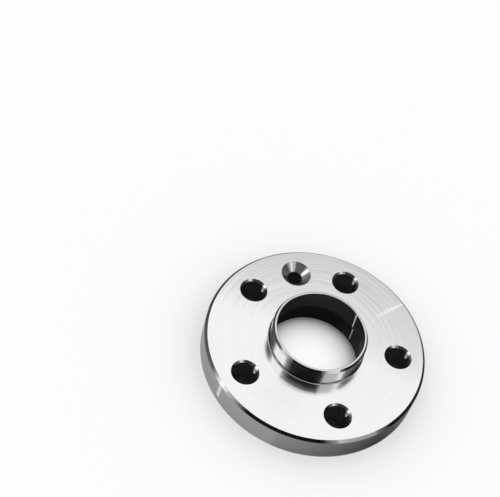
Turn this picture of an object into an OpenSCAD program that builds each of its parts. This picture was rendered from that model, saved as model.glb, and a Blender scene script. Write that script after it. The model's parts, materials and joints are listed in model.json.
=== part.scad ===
/* [Disc] */
// Outside diameter of the disc
disc_d = 150; // [140:0.5:180]
// Thickness between the hub face and the wheel face
disc_t = 20; // [18:0.5:40]
// Width of the 45 degree chamfer round the wheel face
front_chamfer = 1.8; // [0.5:0.1:3]
// Width of the 45 degree chamfer round the hub face
back_chamfer = 1; // [0.3:0.1:3]

/* [Hub seat] */
// Diameter of the centring nose on the car's hub
hub_d = 64.1; // [54:0.1:75]
// Clearance of the seat on that nose, on the diameter
seat_clearance = 0.1; // [0.05:0.01:0.3]
// Depth of the straight seat, from the hub face
seat_depth = 16.4; // [8:0.1:17]
// Lead-in chamfer at the mouth of the seat
seat_lead = 1.2; // [0.3:0.1:2.5]

/* [Centring lip] */
// Height of the lip above the wheel face
lip_h = 14.3; // [6:0.1:25]
// Wall of the lip between its outside and its bore
lip_wall = 2.55; // [2.2:0.05:8]
// Width of the sloping edge round the lip's tip
tip_slope_w = 1.1; // [0.5:0.1:1.6]
// Height of that sloping edge
tip_slope_h = 2; // [0.5:0.1:4]
// Edge break round the lip's bore at the tip
tip_break = 0.3; // [0.1:0.1:0.5]
// Radius of the fillet where the lip meets the wheel face
root_r = 1; // [0.2:0.1:1.5]

/* [Bolt holes] */
// Number of wheel bolts
bolt_count = 5; // [3:1:6]
// Diameter of the circle through the bolt holes
bolt_circle_d = 112; // [98:0.1:116]
// Thread diameter of the wheel bolts
bolt_d = 14; // [12:0.5:14]
// Clearance of the holes on the bolts, on the diameter
bolt_clearance = 2; // [0.5:0.1:3]
// Chamfer at both ends of the bolt holes
bolt_chamfer = 1.4; // [0.3:0.1:2.5]

/* [Retaining screw] */
// Diameter of the circle that the screw hole lies on
screw_circle_d = 112; // [98:0.1:116]
// Thread diameter of the countersunk screw
screw_d = 8; // [6:0.5:10]
// Clearance of the hole on the screw, on the diameter
screw_clearance = 2; // [0.4:0.1:2.5]
// Diameter of the countersink at the wheel face
sink_d = 20.5; // [14:0.1:22]
// Included angle of the countersink
sink_angle = 90; // [80:1:120]
// Chamfer of the screw hole at the hub face
screw_chamfer = 0.8; // [0.3:0.1:2]

/* [Hidden] */
$fn = 128;

disc_r = disc_d / 2;
seat_r = (hub_d + seat_clearance) / 2;
lip_r = hub_d / 2;
bore_r = lip_r - lip_wall;
lip_top = disc_t + lip_h;
shoulder_top = seat_depth + seat_r - bore_r;
bolt_r = (bolt_d + bolt_clearance) / 2;
screw_r = (screw_d + screw_clearance) / 2;
sink_w = sink_d / 2 - screw_r;
sink_h = sink_w / tan(sink_angle / 2);
// The screw hole lies at the 12 o'clock point, midway between two bolts
screw_turn = 90;
bolt_pitch = 360 / bolt_count;
// How far the drilled shapes run past the faces
run_out = 1;

// Half of the turned section: disc, lip, lip bore, 45 degree shoulder and hub seat
module section() {
    difference() {
        polygon([
            [seat_r + seat_lead, 0],
            [disc_r - back_chamfer, 0],
            [disc_r, back_chamfer],
            [disc_r, disc_t - front_chamfer],
            [disc_r - front_chamfer, disc_t],
            [lip_r + root_r, disc_t],
            [lip_r, disc_t + root_r],
            [lip_r, lip_top - tip_slope_h],
            [lip_r - tip_slope_w, lip_top],
            [bore_r + tip_break, lip_top],
            [bore_r, lip_top - tip_break],
            [bore_r, shoulder_top],
            [seat_r, seat_depth],
            [seat_r, seat_lead]
        ]);
        translate([lip_r + root_r, disc_t + root_r]) circle(root_r);
    }
}

// A drilled hole through the disc, with a cone at the hub face and one at the wheel face
module drilled_hole(hole_r, back_w, front_w, front_h) {
    front_run = run_out * front_w / front_h;
    rotate_extrude()
        polygon([
            [0, -run_out],
            [hole_r + back_w + run_out, -run_out],
            [hole_r, back_w],
            [hole_r, disc_t - front_h],
            [hole_r + front_w + front_run, disc_t + run_out],
            [0, disc_t + run_out]
        ]);
}

module bolt_holes() {
    for (i = [0 : bolt_count - 1])
        rotate(screw_turn + (i + 0.5) * bolt_pitch)
            translate([bolt_circle_d / 2, 0, 0])
                drilled_hole(bolt_r, bolt_chamfer, bolt_chamfer, bolt_chamfer);
}

module screw_hole() {
    rotate(screw_turn)
        translate([screw_circle_d / 2, 0, 0])
            drilled_hole(screw_r, screw_chamfer, sink_w, sink_h);
}

module spacer() {
    color("silver")
        difference() {
            rotate_extrude() section();
            bolt_holes();
            screw_hole();
        }
}

spacer();
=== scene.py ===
import json
import math

import bpy
from mathutils import Matrix, Quaternion, Vector


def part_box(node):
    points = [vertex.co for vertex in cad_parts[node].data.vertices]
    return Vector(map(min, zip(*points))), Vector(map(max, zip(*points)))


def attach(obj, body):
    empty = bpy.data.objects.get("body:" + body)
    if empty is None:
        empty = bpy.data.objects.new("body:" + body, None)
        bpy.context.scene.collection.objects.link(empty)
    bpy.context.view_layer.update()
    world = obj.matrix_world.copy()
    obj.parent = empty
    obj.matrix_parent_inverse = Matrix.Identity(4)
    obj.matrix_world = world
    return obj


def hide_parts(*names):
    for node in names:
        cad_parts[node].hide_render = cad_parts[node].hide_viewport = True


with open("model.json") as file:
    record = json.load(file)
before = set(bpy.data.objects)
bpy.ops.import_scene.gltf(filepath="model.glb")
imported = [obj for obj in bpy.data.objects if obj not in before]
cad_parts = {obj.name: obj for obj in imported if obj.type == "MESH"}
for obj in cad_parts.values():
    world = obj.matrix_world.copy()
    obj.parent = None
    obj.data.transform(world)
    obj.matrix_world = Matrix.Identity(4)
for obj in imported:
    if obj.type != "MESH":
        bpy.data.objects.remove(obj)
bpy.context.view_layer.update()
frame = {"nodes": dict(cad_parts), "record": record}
mm = 0.001
mounts = {m["name"]: m for m in frame["record"]["mounts"]}
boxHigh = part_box("spacer")[1]
print("frame loaded:", ", ".join(frame["nodes"]))


def mountSize(name, key):
    return mounts[name]["dims"][key] * mm


# the turned blank: the frame gives the sizes that it can
spacer = {
    "discR": boxHigh.x,
    "discT": mounts["wheel_face"]["pos_m"][2],
    "lipTop": boxHigh.z,
    "lipR": mountSize("wheel_lip", "r_mm"),
    "boreR": mountSize("lip_bore", "r_mm"),
    "seatR": mountSize("hub_seat", "r_mm"),
    "seatDepth": 16.4 * mm,
    "seatLead": 1.2 * mm,
    "frontChamfer": 1.8 * mm,
    "backChamfer": 1.0 * mm,
    "tipSlopeW": 1.1 * mm,
    "tipSlopeH": 2.0 * mm,
    "tipBreak": 0.3 * mm,
    "rootR": 1.0 * mm,
    "edgeR": 0.2 * mm,        # rounding of the sharp edges
    "seatCornerR": 0.5 * mm,  # tool radius in the bottom of the hub seat
    "segments": 240,          # round the disc
    "sideSteps": 16,          # along each seam between two holes
    "holeRings": 9,           # mesh rings between a hole and its seams
}

# the drilled holes
holes = {
    "boltCircleR": mountSize("wheel_bolts", "pcd_mm") / 2,
    "boltCount": mounts["wheel_bolts"]["dims"]["count"],
    "boltR": mountSize("wheel_bolts", "hole_r_mm"),
    "boltChamfer": 1.4 * mm,
    "screwCentre": Vector(mounts["retaining_screw_hole"]["pos_m"]).to_2d(),
    "screwR": mountSize("retaining_screw_hole", "r_mm"),
    "sinkR": 10.25 * mm,
    "sinkAngle": 90,
    "screwChamfer": 0.8 * mm,
}

# finishes of the spacer, in the order of its material slots
finishes = ["turnedFace", "rimCut", "sideWall", "rootBend", "lipWall", "tipCut", "boreWall", "seatWall",
            "holeCut", "holeWall", "sinkCone", "hubFace"]


def placeObject(name, data):
    made = bpy.data.objects.new(name, data)
    bpy.context.scene.collection.objects.link(made)
    return made


def roundedPath(corners, closed, stepDeg=18):
    # corners are (r, z, rounding, finish of the run that leaves it, finish of the bend)
    # they run with the metal on the left
    path = []
    last = len(corners) - 1
    for i, (r, z, radius, finish, *bend) in enumerate(corners):
        if not closed and i in (0, last):
            continue  # the ends only give a direction
        here = Vector((r, z))
        before = Vector(corners[i - 1][:2])
        after = Vector(corners[(i + 1) % len(corners)][:2])
        inWay = (here - before).normalized()
        outWay = (after - here).normalized()
        turn = math.atan2(inWay.cross(outWay), inWay.dot(outWay))
        side = math.copysign(1, turn)
        normal = Vector((inWay.y, -inWay.x))
        start = here - inWay * radius * math.tan(abs(turn) / 2)
        centre = start - normal * radius * side
        steps = max(2, math.ceil(math.degrees(abs(turn)) / stepDeg))
        for k in range(steps + 1):
            bent = Matrix.Rotation(turn * k / steps, 2) @ normal
            own = finish if k * 2 >= steps else corners[i - 1][3]
            if bend and k < steps:
                own = bend[0]
            place = centre + bent * radius * side
            path.append({"at": place, "normal": bent, "finish": own, "corner": i})
    return path


class MeshParts:
    # vertices, their exact normals, and faces with a finish and the axis they were turned about
    def __init__(self):
        self.places = []
        self.normals = []
        self.faces = []
        self.finish = []
        self.axes = []

    def vertex(self, place, normal):
        self.places.append(place)
        self.normals.append(normal)
        return len(self.places) - 1

    def face(self, corners, finish, axis):
        self.faces.append(corners)
        self.finish.append(finishes.index(finish))
        self.axes.append((axis.x, axis.y, 0.0))

    def ring(self, point, angles, axis):
        made = []
        for a in angles:
            out = Vector((math.cos(a), math.sin(a)))
            flat = axis + out * point["at"].x
            slope = out * point["normal"].x
            place = (flat.x, flat.y, point["at"].y)
            made.append(self.vertex(place, (slope.x, slope.y, point["normal"].y)))
        return made

    def band(self, low, high, finish, axis):
        count = len(low)
        for k in range(count):
            n = (k + 1) % count
            self.face((low[k], low[n], high[n], high[k]), finish, axis)


def sectionCorners(s):
    edge = s["edgeR"]
    shoulderTop = s["seatDepth"] + s["seatR"] - s["boreR"]  # a 45 degree shoulder
    return [
        (s["seatR"] + s["seatLead"], 0, edge, "hubFace"),
        (s["discR"] - s["backChamfer"], 0, edge, "rimCut"),
        (s["discR"], s["backChamfer"], edge, "sideWall"),
        (s["discR"], s["discT"] - s["frontChamfer"], edge, "rimCut"),
        (s["discR"] - s["frontChamfer"], s["discT"], edge, "turnedFace"),
        (s["lipR"], s["discT"], s["rootR"], "lipWall", "rootBend"),
        (s["lipR"], s["lipTop"] - s["tipSlopeH"], edge, "tipCut"),
        (s["lipR"] - s["tipSlopeW"], s["lipTop"], edge, "tipCut"),
        (s["boreR"] + s["tipBreak"], s["lipTop"], edge, "tipCut"),
        (s["boreR"], s["lipTop"] - s["tipBreak"], edge, "boreWall"),
        (s["boreR"], shoulderTop, edge, "boreWall"),
        (s["seatR"], s["seatDepth"], s["seatCornerR"], "seatWall"),
        (s["seatR"], s["seatLead"], edge, "holeCut"),
    ]


def holeCorners(s, radius, frontW, frontH, backW, cone):
    edge = s["edgeR"]
    far = s["discR"]
    return [
        (far, s["discT"], 0, "turnedFace"),
        (radius + frontW, s["discT"], edge, cone),
        (radius, s["discT"] - frontH, edge, "holeWall"),
        (radius, backW, edge, "holeCut"),
        (radius + backW, 0, edge, "hubFace"),
        (far, 0, 0, "hubFace"),
    ]


def holeList(s, h):
    sinkW = h["sinkR"] - h["screwR"]
    sinkH = sinkW / math.tan(math.radians(h["sinkAngle"] / 2))
    screwTurn = math.atan2(h["screwCentre"].y, h["screwCentre"].x)
    made = [{"turn": screwTurn, "centre": h["screwCentre"],
             "corners": holeCorners(s, h["screwR"], sinkW, sinkH, h["screwChamfer"], "sinkCone")}]
    cut = h["boltChamfer"]
    for i in range(h["boltCount"]):
        turn = screwTurn + (i + 0.5) * math.tau / h["boltCount"]  # the screw lies midway between bolts
        made.append({"turn": turn, "centre": Vector((math.cos(turn), math.sin(turn))) * h["boltCircleR"],
                     "corners": holeCorners(s, h["boltR"], cut, cut, cut, "holeCut")})
    for hole in made:
        hole["turn"] %= math.tau
    return sorted(made, key=lambda hole: hole["turn"])


def seamStep(angle, count):
    return round(angle / math.tau * count) % count


def buildSpacer(s, h):
    parts = MeshParts()
    middle = Vector((0, 0))
    count = s["segments"]
    around = [math.tau * i / count for i in range(count)]
    path = roundedPath(sectionCorners(s), True)
    rings = [parts.ring(p, around, middle) for p in path]
    flats = {"hubFace": 0, "turnedFace": 4}  # corners that the two drilled faces start from
    ends = {}
    for k, point in enumerate(path):
        n = (k + 1) % len(path)
        leaves = path[n]["corner"] != point["corner"]
        face = next((f for f, corner in flats.items() if leaves and corner == point["corner"]), None)
        if face:
            ends[face] = (rings[k], rings[n])
        else:
            parts.band(rings[k], rings[n], point["finish"], middle)

    drilled = holeList(s, h)
    for i, hole in enumerate(drilled):  # each hole has the sector up to the seams beside it
        after = drilled[(i + 1) % len(drilled)]
        gap = (after["turn"] - hole["turn"]) % math.tau
        hole["seam"] = seamStep(hole["turn"] + gap / 2, count)
    seams = {}
    for face, (first, second) in ends.items():
        up = 1 if face == "turnedFace" else -1
        outer, inner = (first, second) if up == 1 else (second, first)
        for hole in drilled:
            a = Vector(parts.places[inner[hole["seam"]]])
            b = Vector(parts.places[outer[hole["seam"]]])
            steps = s["sideSteps"]
            between = [parts.vertex(a.lerp(b, k / steps), (0, 0, up)) for k in range(1, steps)]
            seams[face, hole["seam"]] = between

    for i, hole in enumerate(drilled):
        low, high = drilled[i - 1]["seam"], hole["seam"]
        span = [(low + k) % count for k in range((high - low) % count + 1)]
        wall = roundedPath(hole["corners"], False)
        wallRings = None
        for face in ("turnedFace", "hubFace"):
            first, second = ends[face]
            outer, inner = (first, second) if face == "turnedFace" else (second, first)
            loop = [outer[k] for k in span] + seams[face, high][::-1]
            loop += [inner[k] for k in reversed(span)] + seams[face, low]
            if wallRings is None:  # both faces share the wall
                angles = spreadAngles(parts, loop, hole["centre"])
                wallRings = [parts.ring(p, angles, hole["centre"]) for p in wall]
                for k in range(len(wall) - 1):
                    parts.band(wallRings[k], wallRings[k + 1], wall[k]["finish"], hole["centre"])
            rim = wallRings[0] if face == "turnedFace" else wallRings[-1]
            fillSector(parts, rim, loop, face, s["holeRings"], middle)
    return parts


def spreadAngles(parts, loop, centre, even=0.45):
    # directions from the hole to its seams, evened out a little so the hole's own steps are alike
    turns = [math.atan2(parts.places[v][1] - centre.y, parts.places[v][0] - centre.x) for v in loop]
    for k in range(1, len(turns)):
        turns[k] = turns[0] + (turns[k] - turns[0]) % math.tau
    step = math.tau / len(turns)
    shift = sum(t - step * k for k, t in enumerate(turns)) / len(turns)
    return [t * (1 - even) + (shift + step * k) * even for k, t in enumerate(turns)]


def fillSector(parts, rim, loop, face, rings, axis, crowding=1.6):
    # rings from the hole's rim out to the seams, closer together near the rim
    up = 1 if face == "turnedFace" else -1
    count = len(loop)
    inside = rim
    for k in range(1, rings + 1):
        share = (k / rings) ** crowding
        outside = loop
        if k < rings:
            spokes = [(Vector(parts.places[a]), Vector(parts.places[b])) for a, b in zip(rim, loop)]
            outside = [parts.vertex(near.lerp(far, share), (0, 0, up)) for near, far in spokes]
        for j in range(count):
            n = (j + 1) % count
            corners = (inside[j], outside[j], outside[n], inside[n])
            parts.face(corners if up == 1 else corners[::-1], face, axis)
        inside = outside


def meshObject(name, parts, materials):
    mesh = bpy.data.meshes.new(name)
    mesh.from_pydata([tuple(p) for p in parts.places], [], parts.faces)
    for material in materials:
        mesh.materials.append(material)
    mesh.polygons.foreach_set("material_index", parts.finish)
    mesh.shade_smooth()
    turned = mesh.attributes.new("turnAxis", "FLOAT_VECTOR", "FACE")
    turned.data.foreach_set("vector", [c for axis in parts.axes for c in axis])
    mesh.normals_split_custom_set_from_vertices(parts.normals)
    mesh.update()
    return placeObject(name, mesh)


def newGroup(name, inputs, outputs):
    group = bpy.data.node_groups.new(name, "ShaderNodeTree")
    for title, kind, value in inputs:
        socket = group.interface.new_socket(title, in_out="INPUT", socket_type=kind)
        if value is not None:
            socket.default_value = value
    for title, kind in outputs:
        group.interface.new_socket(title, in_out="OUTPUT", socket_type=kind)
    return group, group.nodes.new("NodeGroupInput"), group.nodes.new("NodeGroupOutput")


def feed(tree, socket, value):
    # a link or a plain value, whichever is given
    if isinstance(value, bpy.types.NodeSocket):
        tree.links.new(value, socket)
    elif value is not None:
        socket.default_value = value


def mathNode(tree, operation, a, b=None, c=None, clamp=False):
    node = tree.nodes.new("ShaderNodeMath")
    node.operation = operation
    node.use_clamp = clamp
    for socket, value in zip(node.inputs, (a, b, c)):
        feed(tree, socket, value)
    return node.outputs[0]


def vectorNode(tree, operation, a, b=None, scale=None, out=0):
    node = tree.nodes.new("ShaderNodeVectorMath")
    node.operation = operation
    for socket, value in zip(node.inputs, (a, b)):
        feed(tree, socket, value)
    if scale is not None:
        feed(tree, node.inputs["Scale"], scale)
    return node.outputs[out]


def noiseNode(tree, vector, scale, detail, rough):
    node = tree.nodes.new("ShaderNodeTexNoise")
    tree.links.new(vector, node.inputs["Vector"])
    node.inputs["Scale"].default_value = scale
    node.inputs["Detail"].default_value = detail
    node.inputs["Roughness"].default_value = rough
    return node.outputs[0]


# rings left by the cutting tool
toolMark = {
    "rise": 1.37,                        # height counts with the radius, so marks run across any profile
    "round": (0.9, 0.9, 0),              # slow round the axis
    "fine": (1.0, 3, 0.6),               # noise scale, detail and roughness of the single marks
    "bands": (1.0, 2, 0.5),              # the same for the wider bands
    "bandStretch": (2.5, 2.5, 0.16),
    "bandShare": 0.6,                    # how much of the tone comes from the bands
    "fineShare": 0.4,
    "groovePower": 3.0,                  # a few deep grooves
    "grooveDepth": 1.2,
}


def toolMarksGroup(t):
    # noise that runs a long way round the axis and changes fast across it
    group, given, result = newGroup(
        "toolMarks",
        [("Position", "NodeSocketVector", None), ("Normal", "NodeSocketVector", None),
         ("Pitch", "NodeSocketFloat", 0.5), ("Depth", "NodeSocketFloat", 0.1)],
        [("Normal", "NodeSocketVector"), ("Tone", "NodeSocketFloat")])
    flat = vectorNode(group, "MULTIPLY", given.outputs["Position"], (1, 1, 0))
    radius = vectorNode(group, "LENGTH", flat, out=1)
    out = vectorNode(group, "NORMALIZE", flat)
    split = group.nodes.new("ShaderNodeSeparateXYZ")
    group.links.new(given.outputs["Position"], split.inputs[0])
    along = mathNode(group, "MULTIPLY_ADD", split.outputs["Z"], t["rise"], radius)
    perPitch = mathNode(group, "DIVIDE", 1 / mm, given.outputs["Pitch"])
    join = group.nodes.new("ShaderNodeCombineXYZ")
    group.links.new(mathNode(group, "MULTIPLY", along, perPitch), join.inputs["Z"])
    marks = vectorNode(group, "ADD", vectorNode(group, "MULTIPLY", out, t["round"]), join.outputs[0])
    fine = noiseNode(group, marks, *t["fine"])
    bands = noiseNode(group, vectorNode(group, "MULTIPLY", marks, t["bandStretch"]), *t["bands"])
    fineTone = mathNode(group, "MULTIPLY", fine, t["fineShare"])
    tone = mathNode(group, "MULTIPLY_ADD", bands, t["bandShare"], fineTone)
    group.links.new(tone, result.inputs["Tone"])

    tilt = mathNode(group, "MULTIPLY_ADD", fine, 2.0, -1.0)  # from 0 to 1, to -1 to 1
    steep = mathNode(group, "MULTIPLY", mathNode(group, "POWER", tilt, t["groovePower"]), t["grooveDepth"])
    slope = mathNode(group, "MULTIPLY", mathNode(group, "ADD", tilt, steep), given.outputs["Depth"])
    around = vectorNode(group, "CROSS_PRODUCT", (0, 0, 1), out)
    across = vectorNode(group, "CROSS_PRODUCT", given.outputs["Normal"], around)
    lean = vectorNode(group, "SCALE", vectorNode(group, "NORMALIZE", across), scale=slope)
    bent = vectorNode(group, "ADD", given.outputs["Normal"], lean)
    group.links.new(vectorNode(group, "NORMALIZE", bent), result.inputs["Normal"])
    return group


# faint cloudy smears from handling and wiping
smearCloud = {
    "noise": (34.0, 4, 0.55),  # scale, detail and roughness
    "clean": 0.38,             # noise below this is clean metal
    "smeared": 0.68,           # and above this is fully smeared
}


def handlingGroup(c):
    group, given, result = newGroup(
        "handlingSmear", [("Position", "NodeSocketVector", None)], [("Smear", "NodeSocketFloat")])
    cloud = noiseNode(group, given.outputs["Position"], *c["noise"])
    spread = group.nodes.new("ShaderNodeMapRange")
    group.links.new(cloud, spread.inputs["Value"])
    spread.inputs["From Min"].default_value = c["clean"]
    spread.inputs["From Max"].default_value = c["smeared"]
    group.links.new(spread.outputs[0], result.inputs["Smear"])
    return group


toolMarks = toolMarksGroup(toolMark)
handlingSmear = handlingGroup(smearCloud)

# finishes: colour, roughness, how far the gloss is drawn out, pitch of the marks in mm, their depth
# the low colours of sideWall, rootBend, boreWall, seatWall, holeCut and sinkCone are painted shade: the
# bright metal is darkened to stand for the shade and dark reflections on these walls
looks = {
    "turnedFace": {"colour": (0.95, 0.95, 0.96), "rough": 0.12, "draw": 0.96, "pitch": 0.34, "depth": 0.085},
    "rimCut": {"colour": (0.72, 0.72, 0.73), "rough": 0.11, "draw": 0.40, "pitch": 0.30, "depth": 0.02},
    # painted shade: the side wall is darkened for the shaded floor that it mirrors
    "sideWall": {"colour": (0.37, 0.37, 0.38), "rough": 0.34, "draw": 0.60, "pitch": 0.80, "depth": 0.20},
    # painted shade in the crease where the lip meets the face
    "rootBend": {"colour": (0.36, 0.36, 0.37), "rough": 0.11, "draw": 0.40, "pitch": 0.30, "depth": 0.02},
    "lipWall": {"colour": (0.92, 0.92, 0.93), "rough": 0.085, "draw": 0.70, "pitch": 0.40, "depth": 0.03},
    "tipCut": {"colour": (0.72, 0.72, 0.73), "rough": 0.11, "draw": 0.40, "pitch": 0.30, "depth": 0.02},
    # painted shade in the bore, darkest in the hub seat
    "boreWall": {"colour": (0.58, 0.58, 0.59), "rough": 0.07, "draw": 0.50, "pitch": 0.35, "depth": 0.012},
    "seatWall": {"colour": (0.25, 0.25, 0.26), "rough": 0.08, "draw": 0.50, "pitch": 0.35, "depth": 0.012},
    # painted shade on the hole chamfers between their glints
    "holeCut": {"colour": (0.22, 0.22, 0.23), "rough": 0.12, "draw": 0.40, "pitch": 0.30, "depth": 0.02},
    "holeWall": {"colour": (0.66, 0.66, 0.67), "rough": 0.22, "draw": 0.60, "pitch": 0.45, "depth": 0.12},
    # painted shade on the countersink
    "sinkCone": {"colour": (0.44, 0.44, 0.45), "rough": 0.18, "draw": 0.85, "pitch": 0.30, "depth": 0.05},
    "hubFace": {"colour": (0.80, 0.80, 0.81), "rough": 0.26, "draw": 0.90, "pitch": 0.60, "depth": 0.08},
}

# how far marks and smears move a finish, as shares of its own colour and roughness
finishRange = {
    "darkTone": 0.93,
    "lightTone": 1.04,
    "roughBase": 0.8,
    "roughMarks": 0.4,
    "roughSmear": 0.25,
    "glossTurn": 0.25,  # a quarter turn, so gloss spreads across the marks
}


def metalMaterial(name, look, span):
    material = bpy.data.materials.new(name)
    material.use_nodes = True
    tree = material.node_tree
    shader = tree.nodes["Principled BSDF"]
    shader.inputs["Metallic"].default_value = 1.0
    shader.inputs["Anisotropic"].default_value = look["draw"]
    shader.inputs["Anisotropic Rotation"].default_value = span["glossTurn"]

    place = tree.nodes.new("ShaderNodeTexCoord").outputs["Object"]
    axis = tree.nodes.new("ShaderNodeAttribute")
    axis.attribute_name = "turnAxis"
    local = vectorNode(tree, "SUBTRACT", place, axis.outputs["Vector"])
    out = vectorNode(tree, "MULTIPLY", local, (1, 1, 0))
    tree.links.new(vectorNode(tree, "CROSS_PRODUCT", (0, 0, 1), out), shader.inputs["Tangent"])

    marks = tree.nodes.new("ShaderNodeGroup")
    marks.node_tree = toolMarks
    tree.links.new(local, marks.inputs["Position"])
    tree.links.new(tree.nodes.new("ShaderNodeNewGeometry").outputs["Normal"], marks.inputs["Normal"])
    marks.inputs["Pitch"].default_value = look["pitch"]
    marks.inputs["Depth"].default_value = look["depth"]
    tree.links.new(marks.outputs["Normal"], shader.inputs["Normal"])
    smear = tree.nodes.new("ShaderNodeGroup")
    smear.node_tree = handlingSmear
    tree.links.new(place, smear.inputs["Position"])

    tone = tree.nodes.new("ShaderNodeMix")
    tone.data_type = "RGBA"
    tone.inputs["A"].default_value = (*[c * span["darkTone"] for c in look["colour"]], 1)
    tone.inputs["B"].default_value = (*[min(1, c * span["lightTone"]) for c in look["colour"]], 1)
    tree.links.new(marks.outputs["Tone"], tone.inputs["Factor"])
    tree.links.new(tone.outputs["Result"], shader.inputs["Base Color"])

    base = look["rough"] * span["roughBase"]
    byMarks = look["rough"] * span["roughMarks"]
    bySmear = look["rough"] * span["roughSmear"]
    rough = mathNode(tree, "MULTIPLY_ADD", marks.outputs["Tone"], byMarks, base)
    rough = mathNode(tree, "MULTIPLY_ADD", smear.outputs["Smear"], bySmear, rough)
    tree.links.new(rough, shader.inputs["Roughness"])
    return material


materials = [metalMaterial(name, looks[name], finishRange) for name in finishes]
spacerPiece = meshObject("turned_spacer", buildSpacer(spacer, holes), materials)
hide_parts("spacer")
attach(spacerPiece, "root")
print("spacer turned:", len(spacerPiece.data.polygons), "faces")


def direction(azimuth, elevation):
    a, e = math.radians(azimuth), math.radians(elevation)
    return Vector((math.cos(a) * math.cos(e), math.sin(a) * math.cos(e), math.sin(e)))


def plainMaterial(name, colour):
    material = bpy.data.materials.new(name)
    material.use_nodes = True
    shader = material.node_tree.nodes["Principled BSDF"]
    shader.inputs["Base Color"].default_value = (*colour, 1)
    shader.inputs["Roughness"].default_value = 0.9
    shader.inputs["Specular IOR Level"].default_value = 0.0
    return material


# pale floor
paleFloor = {
    "size": 12.0,
    "colour": (0.66, 0.66, 0.66),
    "shade": (0.06, 0.06, 0.06),  # painted shadow under the disc, seen only down the bolt holes
    "glow": 0.32,                 # the rest of the white, for the camera and for reflections
    "paintedBoreLight": 0.64,             # painted light: more white on the floor in the middle of the bore
    "fadeGap": 0.5 * mm,          # it fades to painted shade toward the wall of the hub seat, gone this far from it
    "fadePower": 3.6,
}


def floorMaterial(f):
    material = plainMaterial("paleFloor", f["colour"])
    tree = material.node_tree
    radius = vectorNode(tree, "LENGTH", tree.nodes.new("ShaderNodeTexCoord").outputs["Object"], out=1)
    inner = spacer["seatR"] + spacer["seatLead"]
    outer = spacer["discR"] - spacer["backChamfer"]
    # the floor under the disc is painted dark as its shadow
    under = mathNode(tree, "COMPARE", radius, (inner + outer) / 2, (outer - inner) / 2)
    shade = tree.nodes.new("ShaderNodeMix")
    shade.data_type = "RGBA"
    tree.links.new(under, shade.inputs["Factor"])
    shade.inputs["A"].default_value = (*f["colour"], 1)
    shade.inputs["B"].default_value = (*f["shade"], 1)
    shader = tree.nodes["Principled BSDF"]
    tree.links.new(shade.outputs["Result"], shader.inputs["Base Color"])

    rays = tree.nodes.new("ShaderNodeLightPath")
    seen = mathNode(tree, "ADD", rays.outputs["Is Camera Ray"], rays.outputs["Is Glossy Ray"])
    seen = mathNode(tree, "ADD", seen, rays.outputs["Is Transmission Ray"], clamp=True)
    lit = mathNode(tree, "MULTIPLY", seen, mathNode(tree, "SUBTRACT", 1.0, under))
    # painted light in the bore, fading to painted shade toward the seat wall
    inside = mathNode(tree, "LESS_THAN", radius, inner)
    share = mathNode(tree, "DIVIDE", radius, spacer["seatR"] - f["fadeGap"])
    fade = mathNode(tree, "POWER", share, f["fadePower"])
    paintedBoreLevel = mathNode(tree, "MULTIPLY", mathNode(tree, "SUBTRACT", 1.0, fade, clamp=True), f["paintedBoreLight"])
    change = mathNode(tree, "SUBTRACT", paintedBoreLevel, f["glow"])
    level = mathNode(tree, "MULTIPLY_ADD", inside, change, f["glow"])
    shader.inputs["Emission Color"].default_value = (1, 1, 1, 1)
    tree.links.new(mathNode(tree, "MULTIPLY", lit, level), shader.inputs["Emission Strength"])
    return material


def addFloor(f):
    half = f["size"] / 2
    corners = [(-half, -half, 0), (half, -half, 0), (half, half, 0), (-half, half, 0)]
    mesh = bpy.data.meshes.new("floor")
    mesh.from_pydata(corners, [], [(0, 1, 2, 3)])
    mesh.materials.append(floorMaterial(f))
    floor = placeObject("floor", mesh)
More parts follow.
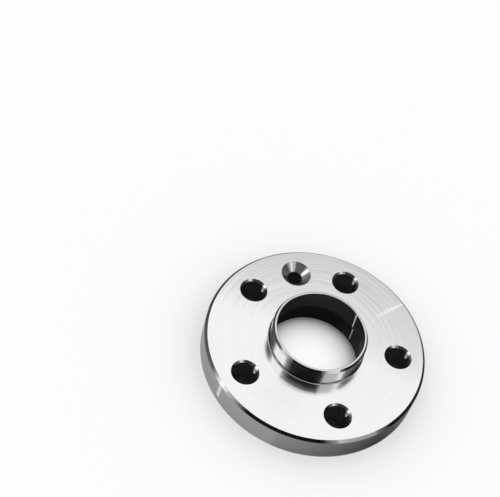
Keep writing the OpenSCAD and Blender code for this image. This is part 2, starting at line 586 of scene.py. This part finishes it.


# grey cards that only reflections see: painted reflections, dark and light, in the metal
screenReach = spacer["discR"] + 25 * mm
rimFloor = (spacer["discR"] + 0.5 * mm, screenReach)  # floor between the rim and the screens
boreMiddle = 0.1 * mm
boreSide = 26 * mm
boreEdge = spacer["seatR"] + spacer["seatLead"] + 0.2 * mm
paintedReflectionCards = {
    "bends": 12,          # steps of a card from its foot to its top
    "farDistance": 1.6,
    "far": {  # azimuth and elevation in degrees, tone at each end, which way the tone runs
        "nearLowCard": ((186, 284), (0, 25), (0.45, 0.30), "up"),
        "nearCard": ((186, 268), (25, 46), (0.22, 0.22), "up"),
        "nearHighCard": ((186, 268), (46, 58), (0.30, 0.60), "up"),
        "nearLeftCard": ((148, 186), (31, 46), (0.15, 0.15), "up"),
        "greyCard": ((284, 322), (0, 26), (0.42, 0.60), "up"),
        "rightCard": ((336, 386), (0, 28), (0.15, 0.20), "up"),
        "rightNearCard": ((322, 336), (0, 24), (0.20, 0.30), "up"),
        "rightHighCard": ((340, 386), (28, 56), (0.30, 0.55), "up"),
        "backCard": ((26, 88), (20, 53), (0.30, 0.85), "up"),
        "leftCard": ((88, 156), (0, 19), (0.25, 0.30), "up"),
        "leftHighCard": ((88, 112), (19, 56), (0.30, 0.60), "up"),
    },
    "deepDistance": 1.5,
    "deepFrom": 1.5,      # the deep cards show from the second reflection on
    "deep": {  # the same, for the metal that mirrors metal where the lip stands on the face
        "deepEdgeCard": ((186, 204), (0, 90), (0.35, 0.003), "round"),
        "deepNearCard": ((204, 284), (0, 96), (0.003, 0.003), "round"),
        "deepGreyCard": ((284, 322), (20, 84), (0.52, 0.85), "up"),
        "deepRightCard": ((334, 396), (0, 60), (0.005, 0.04), "up"),
        "deepRightLowCard": ((322, 336), (0, 26), (0.02, 0.02), "up"),
        "deepLeftCard": ((88, 142), (0, 60), (0.05, 0.05), "up"),
        "deepLeftLowCard": ((140, 156), (0, 34), (0.03, 0.2), "up"),
    },
    "screens": {  # low screens close to the rim: azimuth in degrees, height in metres, tone at each end
        "frontEdgeScreen": ((198, 214), (0.018, 0.052), (1.0, 0.012)),
        "frontScreen": ((214, 263), (0.018, 0.052), (0.012, 0.012)),
        "frontEndScreen": ((263, 272), (0.018, 0.052), (0.012, 0.60)),
        "rightEdgeScreen": ((296, 306), (0.006, 0.034), (0.30, 0.008)),
        "rightScreen": ((306, 345), (0.004, 0.034), (0.008, 0.06)),
        "rightBackScreen": ((345, 390), (0.0, 0.030), (0.06, 0.30)),
        "backScreen": ((30, 95), (0.0, 0.026), (0.30, 0.30)),
        "leftBackScreen": ((95, 125), (0.004, 0.030), (0.35, 0.09)),
        "leftScreen": ((125, 181), (0.008, 0.036), (0.09, 0.20)),
        "leftEdgeScreen": ((181, 188), (0.008, 0.036), (0.20, 1.0)),
    },
    "floorLift": 0.5 * mm,
    "floor": {  # painted shade of the floor, seen only in reflections, flat on the floor: azimuth in degrees, reach from the axis, tone at each end
        "frontFloorCard": ((235, 292), rimFloor, (0.85, 0.02)),
        "sideFloorCard": ((292, 345), rimFloor, (0.02, 0.85)),
        "backFloorCard": ((15, 100), rimFloor, (0.40, 0.40)),
        "boreFloorCard": ((45, 335), (boreMiddle, boreEdge), (0.06, 0.03)),
        "boreMiddleCard": ((-25, 45), (boreMiddle, boreSide), (0.03, 0.08)),
        "boreSideCard": ((-25, 45), (boreSide, boreEdge), (0.30, 0.07)),
    },
}


def cardMaterial(name, deepFrom):
    material = plainMaterial(name, (0, 0, 0))
    tree = material.node_tree
    shader = tree.nodes["Principled BSDF"]
    tone = tree.nodes.new("ShaderNodeVertexColor")
    tone.layer_name = "tone"
    tree.links.new(tone.outputs["Color"], shader.inputs["Base Color"])
    if deepFrom:
        rays = tree.nodes.new("ShaderNodeLightPath")
        later = mathNode(tree, "GREATER_THAN", rays.outputs["Glossy Depth"], deepFrom)
        mixed = tree.nodes.new("ShaderNodeMixShader")
        tree.links.new(later, mixed.inputs[0])
        tree.links.new(tree.nodes.new("ShaderNodeBsdfTransparent").outputs[0], mixed.inputs[1])
        tree.links.new(shader.outputs[0], mixed.inputs[2])
        tree.links.new(mixed.outputs[0], tree.nodes["Material Output"].inputs["Surface"])
    return material


def addCard(name, azimuth, rows, tones, way="round", deepFrom=None, steps=24):
    # a card bent round the part, from rows of (reach from the axis, height)
    corners = []
    shades = []
    for i in range(steps + 1):
        out = direction(azimuth[0] + (azimuth[1] - azimuth[0]) * i / steps, 0)
        for k, (reach, height) in enumerate(rows):
            share = k / (len(rows) - 1) if way == "up" else i / steps
            tone = tones[0] + (tones[1] - tones[0]) * share
            corners.append(out * reach + Vector((0, 0, height)))
            shades += [tone, tone, tone, 1.0]
    count = len(rows)
    faces = [(i * count + k, i * count + k + 1, (i + 1) * count + k + 1, (i + 1) * count + k)
             for i in range(steps) for k in range(count - 1)]
    mesh = bpy.data.meshes.new(name)
    mesh.from_pydata(corners, [], faces)
    mesh.color_attributes.new("tone", "FLOAT_COLOR", "POINT").data.foreach_set("color", shades)
    mesh.materials.append(cardMaterial(name, deepFrom))
    card = placeObject(name, mesh)
    # seen only in reflections, where the card paints a dark or light reflection
    card.visible_camera = False
    card.visible_diffuse = False
    card.visible_shadow = False


def domeRows(distance, low, high, bends):
    turns = [math.radians(low + (high - low) * k / bends) for k in range(bends + 1)]
    return [(distance * math.cos(turn), distance * math.sin(turn)) for turn in turns]


def addCards(c):
    for name, (azimuth, rise, tones, way) in c["far"].items():
        addCard(name, azimuth, domeRows(c["farDistance"], *rise, c["bends"]), tones, way)
    for name, (azimuth, rise, tones, way) in c["deep"].items():
        addCard(name, azimuth, domeRows(c["deepDistance"], *rise, c["bends"]), tones, way, c["deepFrom"])
    for name, (azimuth, heights, tones) in c["screens"].items():
        addCard(name, azimuth, [(screenReach, z) for z in heights], tones)
    for name, (azimuth, reaches, tones) in c["floor"].items():
        addCard(name, azimuth, [(reach, c["floorLift"]) for reach in reaches], tones)


# camera, from the edges of the photographed disc
cameraView = {
    "place": (-0.3018, -0.4553, 0.7856),
    "aim": (-0.0277, 0.0796, 0.0200),
    "rollDeg": 17.8,
    "lens": 101.7,
    "sensor": 36.0,
}


def addCamera(c):
    lens = bpy.data.cameras.new("camera")
    lens.sensor_width = c["sensor"]
    lens.lens = c["lens"]
    camera = placeObject("camera", lens)
    look = Vector(c["aim"]) - Vector(c["place"])
    roll = Quaternion((0, 0, 1), math.radians(c["rollDeg"]))
    camera.location = c["place"]
    camera.rotation_mode = "QUATERNION"
    camera.rotation_quaternion = look.to_track_quat("-Z", "Y") @ roll
    bpy.context.scene.camera = camera


# narrow lamps for the streaks on the metal, sizes in metres
streakLamps = {
    "strips": {  # azimuth and elevation of both ends in degrees, distance, width, watts
        "rimStrip": ((179, 8), (175, 36), 1.2, 0.006, 0.12),
        "faceStrip": ((31.8, 37.3), (25.8, 26.4), 0.10, 0.0008, 3.5e-5),
    },
    "spread": 30,               # degrees, for the lamps close to the metal
    "boreWay": (343, 53),       # azimuth and elevation of the light in the bore
    "boreDistance": 0.005,
    "boreWidth": 0.0006,
    "boreStrips": {  # wall, angle and height of both ends of the streak, watts
        "boreStrip": ("boreR", (18.2, 0.019), (19.4, 0.034), 2.7e-7),
        "seatStrip": ("seatR", (18.6, 0.003), (19.2, 0.015), 2.4e-7),
    },
    "glintDistance": 0.004,
    "sideGlints": {  # angle, out from the wall, under the wheel face, slope, size along and round, watts
        "sideGlint": (199, 0.0, 0.0095, 180, 0.020, 0.002, 5e-6),
    },
    "boltGlints": {  # the same in each bolt hole
        "cutGlint": (16, 0.0008, 0.0006, 45, 0.002, 0.003, 2.3e-6),
        "topGlint": (93, 0.0008, 0.0006, 45, 0.002, 0.0046, 2.0e-6),
        "wallGlint": (16, 0.0, 0.0040, 0, 0.005, 0.0008, 2.0e-7),
    },
    "screwGlints": {  # and in the countersink
        "sinkGlint": (14, 0.0026, 0.0026, 45, 0.0065, 0.0011, 1.8e-6),
        "sinkTopGlint": (97, 0.0026, 0.0026, 45, 0.0065, 0.0020, 1.4e-6),
    },
}


def addStrip(name, start, end, width, watts, facing, spreadDeg=180):
    lamp = bpy.data.lights.new(name, "AREA")
    lamp.shape = "RECTANGLE"
    lamp.size = width
    lamp.size_y = (end - start).cross(facing.normalized()).length
    lamp.energy = watts
    lamp.spread = math.radians(spreadDeg)
    strip = placeObject(name, lamp)
    strip.location = (start + end) / 2
    away = -facing.normalized()
    side = (end - start).cross(away).normalized()
    strip.rotation_mode = "QUATERNION"
    strip.rotation_quaternion = Matrix((side, away.cross(side), away)).transposed().to_quaternion()
    strip.visible_camera = False


def addGlints(glints, centre, wallR, lamps):
    # strip lamps that the camera finds mirrored at chosen places on a round wall
    up = Vector((0, 0, 1))
    for name, (turn, beyond, under, slopeDeg, length, width, watts) in glints.items():
        out = direction(turn, 0)
        slope = math.radians(slopeDeg)  # 0 faces the axis of the wall, 180 faces away from it
        along = out * math.sin(slope) + up * math.cos(slope)
        normal = up * math.sin(slope) - out * math.cos(slope)
        place = centre.to_3d() + out * (wallR + beyond) + up * (spacer["discT"] - under)
        view = (Vector(cameraView["place"]) - place).normalized()
        way = view - normal * 2 * view.dot(normal)
        middle = place - way * lamps["glintDistance"]
        half = along * length / 2
        addStrip(name, middle - half, middle + half, width, watts, way, lamps["spread"])


def addLamps(lamps):
    for name, (first, last, distance, width, watts) in lamps["strips"].items():
        start, end = direction(*first) * distance, direction(*last) * distance
        addStrip(name, start, end, width, watts, -(start + end))
    way = direction(*lamps["boreWay"])
    for name, (wall, first, last, watts) in lamps["boreStrips"].items():
        streak = [direction(angle, 0) * spacer[wall] + Vector((0, 0, z)) for angle, z in (first, last)]
        start, end = (place - way * lamps["boreDistance"] for place in streak)
        addStrip(name, start, end, lamps["boreWidth"], watts, way, lamps["spread"])
    addGlints(lamps["sideGlints"], Vector((0, 0)), spacer["discR"], lamps)
    for hole in holeList(spacer, holes):
        if hole["centre"] == holes["screwCentre"]:
            addGlints(lamps["screwGlints"], hole["centre"], holes["screwR"], lamps)
        else:
            addGlints(lamps["boltGlints"], hole["centre"], holes["boltR"], lamps)


def addSky(level):
    world = bpy.data.worlds.new("softRoom")
    world.use_nodes = True
    back = world.node_tree.nodes["Background"]
    back.inputs["Color"].default_value = (1, 1, 1, 1)
    back.inputs["Strength"].default_value = level
    bpy.context.scene.world = world


addFloor(paleFloor)
addCards(paintedReflectionCards)
addLamps(streakLamps)
addSky(level=1.0)
addCamera(cameraView)
bpy.context.scene.view_settings.view_transform = "Standard"
print("studio set")
